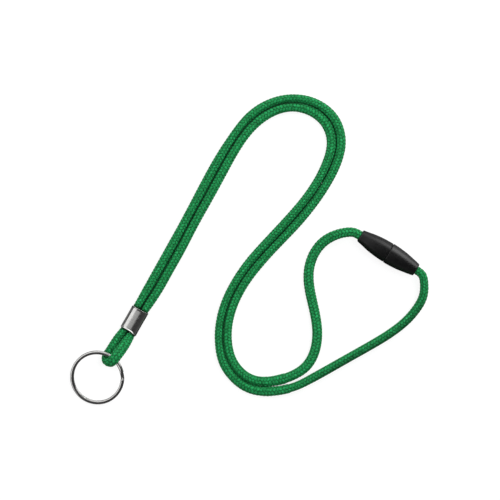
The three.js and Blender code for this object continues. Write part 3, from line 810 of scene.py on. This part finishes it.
def plastic_material(name, specular):
    """Satin black moulded plastic with a fine spark-eroded grain and lighter rubbed edges."""
    m, N, L = material(name)
    b = principled(N, L)
    b.inputs["Specular IOR Level"].default_value = specular
    coord = node(N, "ShaderNodeTexCoord")
    grain = node(N, "ShaderNodeTexNoise")
    grain.inputs["Scale"].default_value = 3800
    grain.inputs["Detail"].default_value = 3
    L.new(coord.outputs["Object"], grain.inputs["Vector"])
    cloud = node(N, "ShaderNodeTexNoise")
    cloud.inputs["Scale"].default_value = 300
    cloud.inputs["Detail"].default_value = 5
    L.new(coord.outputs["Object"], cloud.inputs["Vector"])
    col = ramp(N, [(0.3, (0.0012, 0.0012, 0.0013)), (0.75, (0.0028, 0.0028, 0.0030))])
    L.new(cloud.outputs["Fac"], col.inputs[0])
    geo = node(N, "ShaderNodeNewGeometry")
    edge = ramp(N, [(0.52, (0, 0, 0)), (0.62, (1, 1, 1))])
    L.new(geo.outputs["Pointiness"], edge.inputs[0])
    mix = node(N, "ShaderNodeMix", data_type="RGBA")
    mix.inputs[7].default_value = (0.020, 0.020, 0.021, 1)
    L.new(edge.outputs[0], mix.inputs[0])
    L.new(col.outputs[0], mix.inputs[6])
    L.new(mix.outputs[2], b.inputs["Base Color"])
    rough = node(N, "ShaderNodeMapRange")
    rough.inputs["To Min"].default_value = 0.34
    rough.inputs["To Max"].default_value = 0.42
    L.new(cloud.outputs["Fac"], rough.inputs["Value"])
    L.new(rough.outputs[0], b.inputs["Roughness"])
    bump = node(N, "ShaderNodeBump")
    bump.inputs["Strength"].default_value = 0.25
    bump.inputs["Distance"].default_value = 0.00003
    L.new(grain.outputs["Fac"], bump.inputs["Height"])
    L.new(bump.outputs[0], b.inputs["Normal"])
    return m


CORD = braid_material()
FUSED = fused_material()
SLEEVE_METAL = nickel_material("nickel_sleeve_plate", (0.74, 0.735, 0.72), 0.13, 0.24, -math.atan2(CRIMP_DIR[1], CRIMP_DIR[0]), 0.35)
RING_METAL = nickel_material("nickel_ring_plate", (0.76, 0.75, 0.74), 0.08, 0.20, 0.4, 0.15)
PLASTIC = plastic_material("black_moulded_plastic", 0.82)
PLASTIC_WORN = plastic_material("black_moulded_plastic_matt", 0.52)

for obj in (strand_a, strand_b, bight):
    obj.data.materials.append(CORD)


# ------------------------------------------------------------------ crimp sleeve
def sleeve_mesh():
    """A formed strip: rolled lips, ends cut to a shallow curve on top, and a slit underneath where it closes."""
    n = 120
    half_w, half_h = CRIMP_WIDTH / 2, CRIMP_HEIGHT / 2
    a0 = math.asin((CRIMP_SEAM / 2) / half_w)
    tt = a0 + (2 * math.pi - 2 * a0) * np.linspace(0, 1, n + 1)
    c, d = np.sin(tt), -np.cos(tt)
    e = 2 / 2.5
    x = np.sign(c) * half_w * np.abs(c) ** e
    z = np.sign(d) * half_h * np.abs(d) ** e
    seat = -half_h + 0.04
    z = np.where(z < seat, seat, z)
    # keep the slit open and the seat flat
    low = (np.abs(x) < CRIMP_WIDTH * 0.26) & (d < 0)
    z = np.where(low, seat, z)
    x[0], x[-1] = CRIMP_SEAM / 2, -CRIMP_SEAM / 2
    outline = np.stack([x, z], 1)
    tang = unit(np.gradient(outline, axis=0))
    inward = np.stack([-tang[:, 1], tang[:, 0]], 1)       # anticlockwise outline
    if np.sum(inward[n // 2] * outline[n // 2]) > 0:
        inward = -inward
    topness = smooth((z + 0.6) / 1.8)
    bowl = 1 - (x / half_w) ** 2
    # x > 0 is the right-hand leg's side; +y points to the neck
    hi = CRIMP_LENGTH / 2 - 0.02 - 0.10 * topness * bowl + 0.16 * x / half_w
    lo = rim(x)
    wall = CRIMP_WALL
    r = wall / 2
    # closed loop round the wall: outer face, rolled lip, inner face, rolled lip
    prof = []
    for f in (0, 0.008, 0.018, 0.03, 0.045, 0.065, 0.09, 0.13, 0.2, 0.35, 0.5, 0.65, 0.8, 0.87, 0.91, 0.935, 0.955, 0.97, 0.982, 0.992, 1.0):
        prof.append(("o", f, 0.0))
    for k in range(1, 8):
        prof.append(("h", math.pi * k / 8, 0))
    for f in (1.0, 0.96, 0.85, 0.5, 0.15, 0.04, 0.0):
        prof.append(("i", f, wall))
    for k in range(1, 8):
        prof.append(("l", math.pi * k / 8, 0))
    rows = []
    for kind, v, off in prof:
        if kind in "oi":
            y = (lo + r) + (hi - lo - 2 * r) * v
            depth = np.full_like(x, off)
        elif kind == "h":
            y = hi - r + r * math.sin(v)
            depth = np.full_like(x, r - r * math.cos(v))
        else:
            y = lo + r - r * math.sin(v)
            depth = np.full_like(x, r + r * math.cos(v))
        near = np.minimum(hi - y, y - lo)
        flare = (0.06 + 0.34 * smooth((z - 0.9) / 1.2)) * np.exp(-(near / 0.50) ** 2) * np.clip((z + 2.5) / 1.5, 0, 1)
        waist = 0.05 * (1 - ((y - (hi + lo) / 2) / ((hi - lo) / 2)) ** 2) * np.clip((z + 2.0) / 1.5, 0, 1)
        q = outline + inward * (depth - flare + waist)[:, None]
        rows.append(np.stack([q[:, 0], y, q[:, 1]], 1))
    rows = np.array(rows)                              # profile x outline x 3
    m, k = rows.shape[:2]
    flat = rows.reshape(-1, 3)
    faces = grid_faces(m, k, closed_rows=True, closed_cols=False).tolist()
    # close the two edges of the slit
    for col in (0, k - 1):
        ring_ids = [j * k + col for j in range(m)]
        faces.append(ring_ids if col else ring_ids[::-1])
    base = np.r_[CRIMP_CENTRE, CRIMP_HEIGHT / 2 - 0.04]
    # local x is to the right of the direction towards the neck
    right = -crimp_side
    world = base + flat[:, :1] * right + flat[:, 1:2] * crimp_along + flat[:, 2:3] * UP
    obj = make_mesh("crimped_sleeve", world, faces)
    return obj


sleeve = sleeve_mesh()
sleeve.data.materials.append(SLEEVE_METAL)


# ------------------------------------------------------------------ split ring
def ring_mesh():
    """Two turns of flattened spring wire with rounded edges: the upper turn steps down to the lower one."""
    stack = 2 * RING_WIRE_H + RING_COIL_GAP
    tilt = 0.0
    for _ in range(40):
        need = RING_LIFT - stack / 2 * math.cos(tilt)
        tilt = math.asin(need / (2 * RING_MID_R + RING_WIRE_W / 2))
    ring_x = outward * math.cos(tilt) + UP * math.sin(tilt)
    ring_y = -wire_dir
    ring_z = np.cross(ring_x, ring_y)
    centre = contact - ring_x * RING_MID_R
    total = 720 - RING_STEP_DEG
    s = np.linspace(0, total, 691 * 1)
    a = np.radians(RING_END_DEG - s - RING_CONTACT_DEG)
    k = smooth((s - (360 - RING_STEP_DEG)) / RING_STEP_DEG)
    layer = (RING_WIRE_H + RING_COIL_GAP) / 2
    radial = np.stack([np.cos(a), np.sin(a), 0 * a], 1)
    mid = radial * RING_MID_R
    mid[:, 2] = layer * (1 - 2 * k)
    n = 28
    q = np.arange(n) * 2 * math.pi / n
    e = 2 / 2.45
    px = np.sign(np.cos(q)) * np.abs(np.cos(q)) ** e * RING_WIRE_W / 2
    pz = np.sign(np.sin(q)) * np.abs(np.sin(q)) ** e * RING_WIRE_H / 2
    # a slightly crowned top and bottom, as rolled wire has
    t = unit(np.gradient(mid, axis=0))
    nz = unit(np.cross(radial, t))
    nz *= np.sign(nz[:, 2:3])
    # the wire rolls a little as it lifts over the end of the coil
    bump = smooth((s - 296) / 22) * (1 - smooth((s - 334) / 10))
    roll = np.radians(15) * bump
    cr, sr = np.cos(roll)[:, None], np.sin(roll)[:, None]
    side_v = radial * cr + nz * sr
    top_v = nz * cr - radial * sr
    mid = mid + nz * (0.16 * bump)[:, None]
    verts = mid[:, None, :] + px[None, :, None] * side_v[:, None, :] + pz[None, :, None] * top_v[:, None, :]
    # round the cut ends a little
    rows = [verts[i] for i in range(len(s))]
    first = [(verts[0] - mid[0]) * f + mid[0] - t[0] * d for f, d in ((0.45, 0.42), (0.74, 0.34), (0.90, 0.22), (0.975, 0.09))]
    last = [(verts[-1] - mid[-1]) * f + mid[-1] + t[-1] * d for f, d in ((0.97, 0.07), (0.86, 0.15), (0.55, 0.20))]
    rows = np.array(first + rows + last)
    m = len(rows)
    faces = grid_faces(m, n).tolist()
    faces.append(list(range(n)))
    faces.append([(m - 1) * n + j for j in range(n)][::-1])
    flat = rows.reshape(-1, 3)
    world = centre + flat[:, :1] * ring_x + flat[:, 1:2] * ring_y + flat[:, 2:3] * ring_z
    return make_mesh("wound_split_ring", world, faces)


ring = ring_mesh()
ring.data.materials.append(RING_METAL)


# ------------------------------------------------------------------ breakaway connector
def turned(name, profile, segments=112, seam_marks=True):
    """profile: closed list of (radius, distance along), turned about the connector's axis."""
    p = np.array(profile, float)
    a = np.arange(segments) * 2 * math.pi / segments
    x_axis = np.cross(CONN_DIR, UP)
    y_axis = UP
    rows = []
    for rr, tt in p:
        radius = np.full(segments, rr)
        rows.append(CONN_CENTRE + tt * CONN_DIR + radius[:, None] * (np.cos(a)[:, None] * x_axis + np.sin(a)[:, None] * y_axis))
    rows = np.array(rows)
    faces = grid_faces(len(p), segments, closed_rows=True)
    return make_mesh(name, rows.reshape(-1, 3), faces)


def smooth_profile(points, n):
    """A smooth run through (radius, distance) points."""
    y = np.array(points, float)
    t = np.r_[0, np.cumsum(np.hypot(*np.diff(y, axis=0).T))]
    return [tuple(q) for q in spline(t, y, np.linspace(0, t[-1], n))]


S0 = -0.2
plug_outer = smooth_profile([(3.36, -16.62), (3.66, -15.0), (4.05, -13.1), (4.45, -11.2), (4.78, -9.2), (5.05, -7.0), (5.25, -4.6), (5.355, -2.2), (5.38, S0 - 0.42)], 34)
plug_profile = (
    [(2.60, -16.88), (2.68, -17.02), (2.80, -17.10), (2.90, -17.10), (3.08, -17.04), (3.24, -16.88)]
    + plug_outer
    + [(5.36, S0 - 0.30), (5.30, S0 - 0.21), (5.20, S0 - 0.16), (5.05, S0 - 0.15), (5.03, S0 - 0.10), (5.03, S0 + 0.10), (4.98, S0 + 0.12), (4.05, S0 + 0.12), (4.0, S0 + 0.17)]
    + [(4.0, S0 + 4.35), (4.04, S0 + 4.5), (4.16, S0 + 4.8), (4.2, S0 + 4.95), (4.2, S0 + 5.55), (4.16, S0 + 5.7), (4.04, S0 + 6.0), (4.0, S0 + 6.15)]
    + [(4.0, S0 + 6.8), (3.9, S0 + 7.1), (3.75, S0 + 7.26), (3.6, S0 + 7.3), (3.38, S0 + 7.3), (3.3, S0 + 7.2)]
    + [(3.3, -2.0), (3.3, -12.2), (3.2, -12.3), (2.7, -12.3), (2.6, -12.4)]
)
socket_outer = smooth_profile([(5.49, S0 + 0.52), (5.48, 1.8), (5.36, 4.2), (5.13, 6.8), (4.86, 8.9), (4.5, 10.9), (4.12, 12.9), (3.72, 14.9), (3.44, 16.15)], 34)
socket_profile = (
    [(4.52, S0 + 0.50), (4.60, S0 + 0.28), (4.72, S0 + 0.17), (5.2, S0 + 0.15), (5.36, S0 + 0.17), (5.45, S0 + 0.25), (5.485, S0 + 0.36)]
    + socket_outer
    + [(3.34, 16.40), (3.20, 16.60), (3.06, 16.68), (2.94, 16.7), (2.80, 16.7), (2.68, 16.62), (2.6, 16.45)]
    + [(2.6, 12.6), (2.7, 12.5), (3.2, 12.5), (3.3, 12.4), (3.3, S0 + 7.9), (3.4, S0 + 7.8), (4.4, S0 + 7.8), (4.5, S0 + 7.7)]
)
plug = turned("barrel_plug_half", plug_profile)
socket = turned("barrel_socket_half", socket_profile)
plug.data.materials.append(PLASTIC_WORN)
socket.data.materials.append(PLASTIC)

# carried-over nodes: the fused cord ends inside the connector
for name in ("cord_fused_end_a", "cord_fused_end_b"):
    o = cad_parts[name]
    o.data.materials.clear()
    o.data.materials.append(FUSED)

# face directions
for obj in (strand_a, strand_b, bight, sleeve, ring, plug, socket):
    bm = bmesh.new()
    bm.from_mesh(obj.data)
    bmesh.ops.recalc_face_normals(bm, faces=bm.faces)
    bm.to_mesh(obj.data)
    bm.free()

# ------------------------------------------------------------------ bodies
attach(strand_a, "root")
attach(sleeve, "root")
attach(ring, "ring")
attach(plug, "plug_half")
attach(socket, "socket_half")
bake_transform(strand_b)
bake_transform(bight)

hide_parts("cord_strand_a")
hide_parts("cord_strand_b", "cord_strand_b_end")
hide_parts("cord_ring_loop")
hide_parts("crimp_sleeve")
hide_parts("split_ring")
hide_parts("breakaway_plug")
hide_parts("breakaway_socket")

# ------------------------------------------------------------------ floor and light
bpy.ops.mesh.primitive_plane_add(size=4.0, location=(0, 0, -0.0002))
floor = bpy.context.object
floor.name = "floor"
fm, FN, FL = material("pale_floor")
fb = principled(FN, FL)
fb.inputs["Base Color"].default_value = (0.22, 0.22, 0.22, 1)
fb.inputs["Roughness"].default_value = 0.9
fb.inputs["Specular IOR Level"].default_value = 0.1
fb.inputs["Emission Color"].default_value = (1, 1, 1, 1)
fb.inputs["Emission Strength"].default_value = 0.83
floor.data.materials.append(fm)
floor.visible_glossy = False   # the metal mirrors the studio, not the table


def area(name, location, target, size, size_y, power):
    d = bpy.data.lights.new(name, "AREA")
    d.shape = "RECTANGLE"
    d.size = size
    d.size_y = size_y
    d.energy = power
    o = bpy.data.objects.new(name, d)
    scene.collection.objects.link(o)
    o.location = location
    o.rotation_euler = (Vector(target) - Vector(location)).to_track_quat("-Z", "Y").to_euler()
    return o


# what lights the cord: large and soft, and not mirrored in the metal
for name, place, size, size_y, power in (
    ("soft_right", (0.704, 0.03, 1.324), 0.9, 0.9, 10.8),
    ("soft_top", (0.614, 1.064, 0.860), 0.9, 0.9, 8.2),
    ("soft_left", (-1.064, 0.614, 0.860), 0.9, 0.9, 5.6),
    ("soft_near", (0.0, -0.704, 1.324), 0.9, 0.9, 1.9),
):
    o = area(name, place, (0, 0.03, 0), size, size_y, power)
    o.visible_glossy = False
    o.visible_camera = False

# what the metal and the plastic mirror: panels of known brightness
c_dir = np.array([0.868, -0.497, 0.0])


def panel(name, centre, target, size, size_y, radiance):
    o = area(name, tuple(centre), tuple(target), size, size_y, radiance * math.pi * size * size_y)
    o.visible_camera = False
    return o


sleeve_at = np.r_[CRIMP_CENTRE * MM, 0.0]
for name, near, far, low, high, radiance in (("roof", -0.020, 0.125, -0.095, 0.60, 0.42), ("left_roof", 0.125, 0.60, -0.80, 0.80, 1.02)):
    at = sleeve_at - c_dir * (near + far) / 2 + crimp_along * (low + high) / 2
    o = panel(name, (at[0], at[1], 0.40), (at[0], at[1], 0), far - near, high - low, radiance)
    o.rotation_euler = (0, 0, math.atan2(c_dir[1], c_dir[0]))
panel("right_wall", (0.66, 0.60, 0.36), (0.074, 0.033, 0.02), 0.80, 0.62, 1.9)
panel("back_wall", (0.30, 0.90, 0.36), (0.0, 0.03, 0.02), 1.1, 0.55, 0.75)

world = bpy.data.worlds.new("studio")
world.use_nodes = True
scene.world = world
WN, WL = world.node_tree.nodes, world.node_tree.links
WN.clear()
wout = WN.new("ShaderNodeOutputWorld")
bg = WN.new("ShaderNodeBackground")
WL.new(bg.outputs[0], wout.inputs[0])
tc = WN.new("ShaderNodeTexCoord")
sep = WN.new("ShaderNodeSeparateXYZ")
WL.new(tc.outputs["Generated"], sep.inputs[0])
wr = ramp(WN, [(0.0, (0.02, 0.02, 0.02)), (0.42, (0.03, 0.03, 0.03)), (0.52, (0.14, 0.14, 0.14)), (0.70, (0.07, 0.07, 0.07)), (1.0, (0.045, 0.045, 0.045))])
mr = WN.new("ShaderNodeMapRange")
mr.inputs["From Min"].default_value = -1
mr.inputs["From Max"].default_value = 1
WL.new(sep.outputs["Z"], mr.inputs["Value"])
WL.new(mr.outputs[0], wr.inputs[0])
# the lit table beyond the lanyard, which only the gloss sees, at the top and right
dot = WN.new("ShaderNodeVectorMath")
dot.operation = "DOT_PRODUCT"
dot.inputs[1].default_value = (0.15, 0.99, 0.0)
WL.new(tc.outputs["Generated"], dot.inputs[0])
side_glow = WN.new("ShaderNodeMapRange")
side_glow.inputs["From Min"].default_value = 0.10
side_glow.inputs["From Max"].default_value = 0.70
side_glow.inputs["To Max"].default_value = 0.45
WL.new(dot.outputs["Value"], side_glow.inputs["Value"])
below = WN.new("ShaderNodeMapRange")
below.inputs["From Min"].default_value = 0.02
below.inputs["From Max"].default_value = -0.06
WL.new(sep.outputs["Z"], below.inputs["Value"])
glow = WN.new("ShaderNodeMath")
glow.operation = "MULTIPLY"
WL.new(side_glow.outputs[0], glow.inputs[0])
WL.new(below.outputs[0], glow.inputs[1])
total = WN.new("ShaderNodeMix")
total.data_type = "RGBA"
total.blend_type = "ADD"
total.inputs[0].default_value = 1.0
WL.new(wr.outputs[0], total.inputs[6])
glow_rgb = WN.new("ShaderNodeCombineColor")
for k in range(3):
    WL.new(glow.outputs[0], glow_rgb.inputs[k])
WL.new(glow_rgb.outputs[0], total.inputs[7])
WL.new(total.outputs[2], bg.inputs[0])
bg.inputs[1].default_value = 1.0
